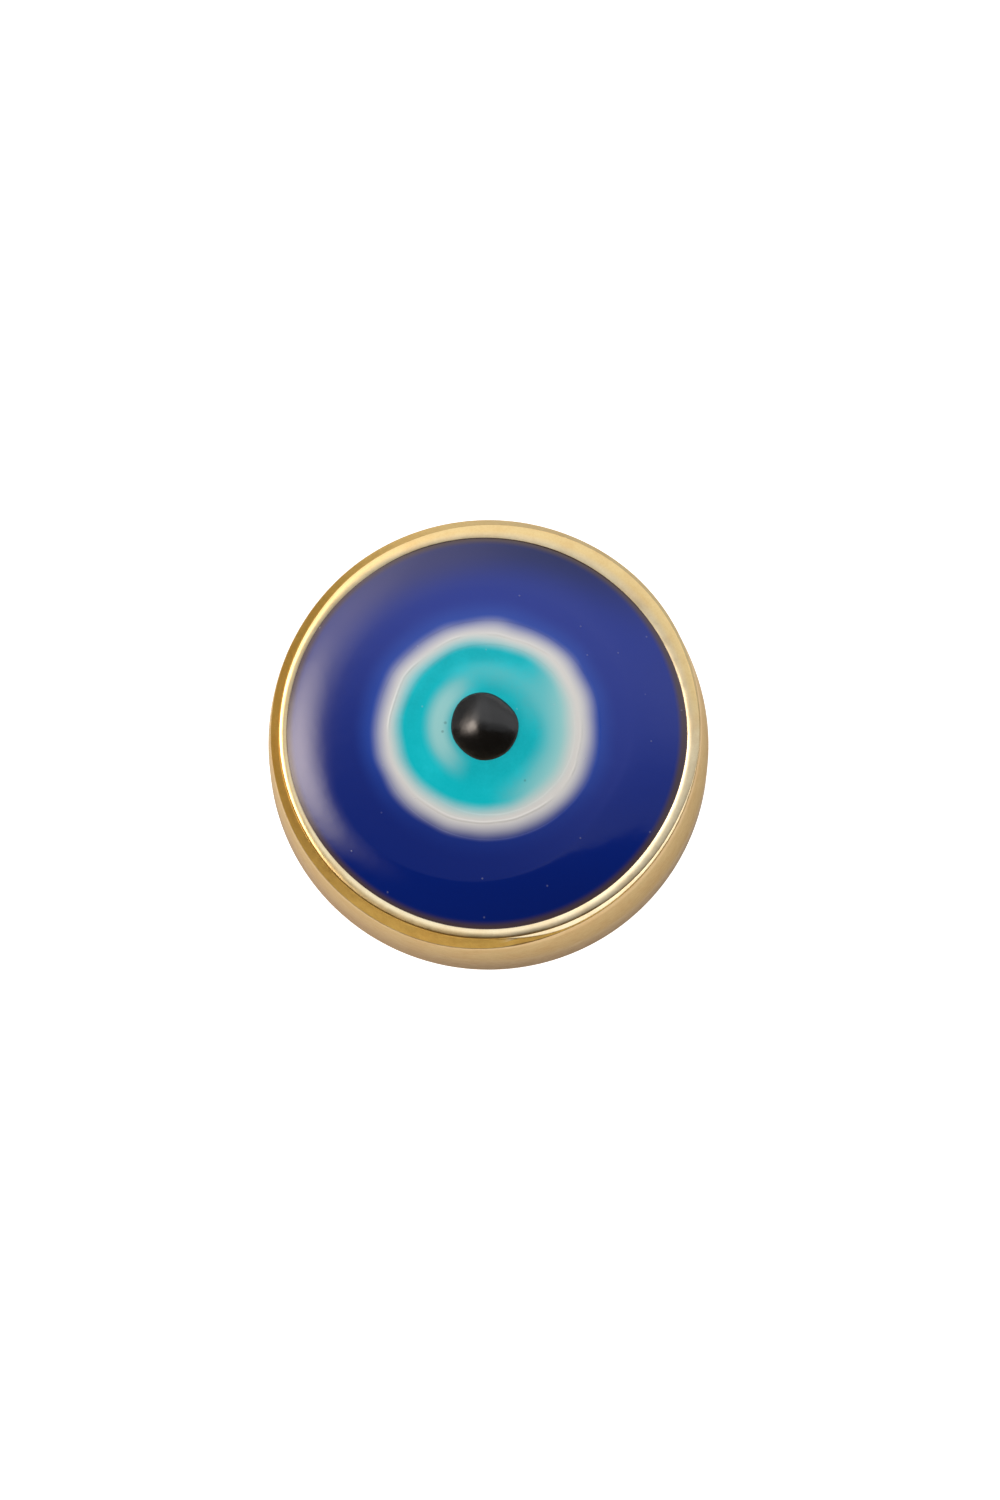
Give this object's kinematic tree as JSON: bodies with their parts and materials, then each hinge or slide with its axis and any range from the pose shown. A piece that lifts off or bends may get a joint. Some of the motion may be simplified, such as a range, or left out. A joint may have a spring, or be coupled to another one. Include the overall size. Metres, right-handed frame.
{
  "type": "evil eye lapel ornament",
  "caption": "Round evil eye ornament: a domed enamel eye in a plated bezel cup, with a tack post and a butterfly clutch behind.",
  "frame": {"origin": "on the axis of the cup and the post, in the plane of the back land that lies on the cloth", "axes": "+Z is the way the eye looks, away from the cloth; the post points along -Z; X runs through the clutch's two wings; +Y is the eye's top"},
  "size_m": [0.018, 0.018, 0.0145],
  "materials": {
    "gold_plate": "polished gold plate with a satin wall",
    "post_plate": "bright plated post",
    "cobalt": "glossy poured enamel",
    "white": "glossy poured enamel",
    "turquoise": "glossy poured enamel",
    "black": "glossy poured enamel",
    "solder": "bright solder",
    "clutch_brass": "stamped and plated sheet",
    "spring_brass": "stamped spring strip"
  },
  "bodies": {
    "ornament": {"bezel_cup": "gold_plate", "cobalt_enamel": "cobalt", "white_enamel": "white", "turquoise_enamel": "turquoise", "black_pupil": "black", "tack_post": "post_plate", "solder_fillet": "solder"},
    "clutch": {"clutch_plate": "clutch_brass", "clutch_cap": "clutch_brass"},
    "wing_left": {"wing_left": "spring_brass"},
    "wing_right": {"wing_right": "spring_brass"}
  },
  "joints": [
    {"name": "clutch_pull", "type": "slide", "parent": "ornament", "child": "clutch", "axis": [0, 0, -1], "range_m": [-0.0012, 0.009]},
    {"name": "wing_left_squeeze", "type": "slide", "parent": "clutch", "child": "wing_left", "axis": [1, 0, 0], "range_m": [0, 0.0005], "stiffness_N_per_m": 800},
    {"name": "wing_right_squeeze", "type": "slide", "parent": "clutch", "child": "wing_right", "axis": [-1, 0, 0], "range_m": [0, 0.0005], "stiffness_N_per_m": 800}
  ],
  "couplings": [
    {"joint": "wing_right_squeeze", "follows": "wing_left_squeeze", "ratio": 1}
  ]
}
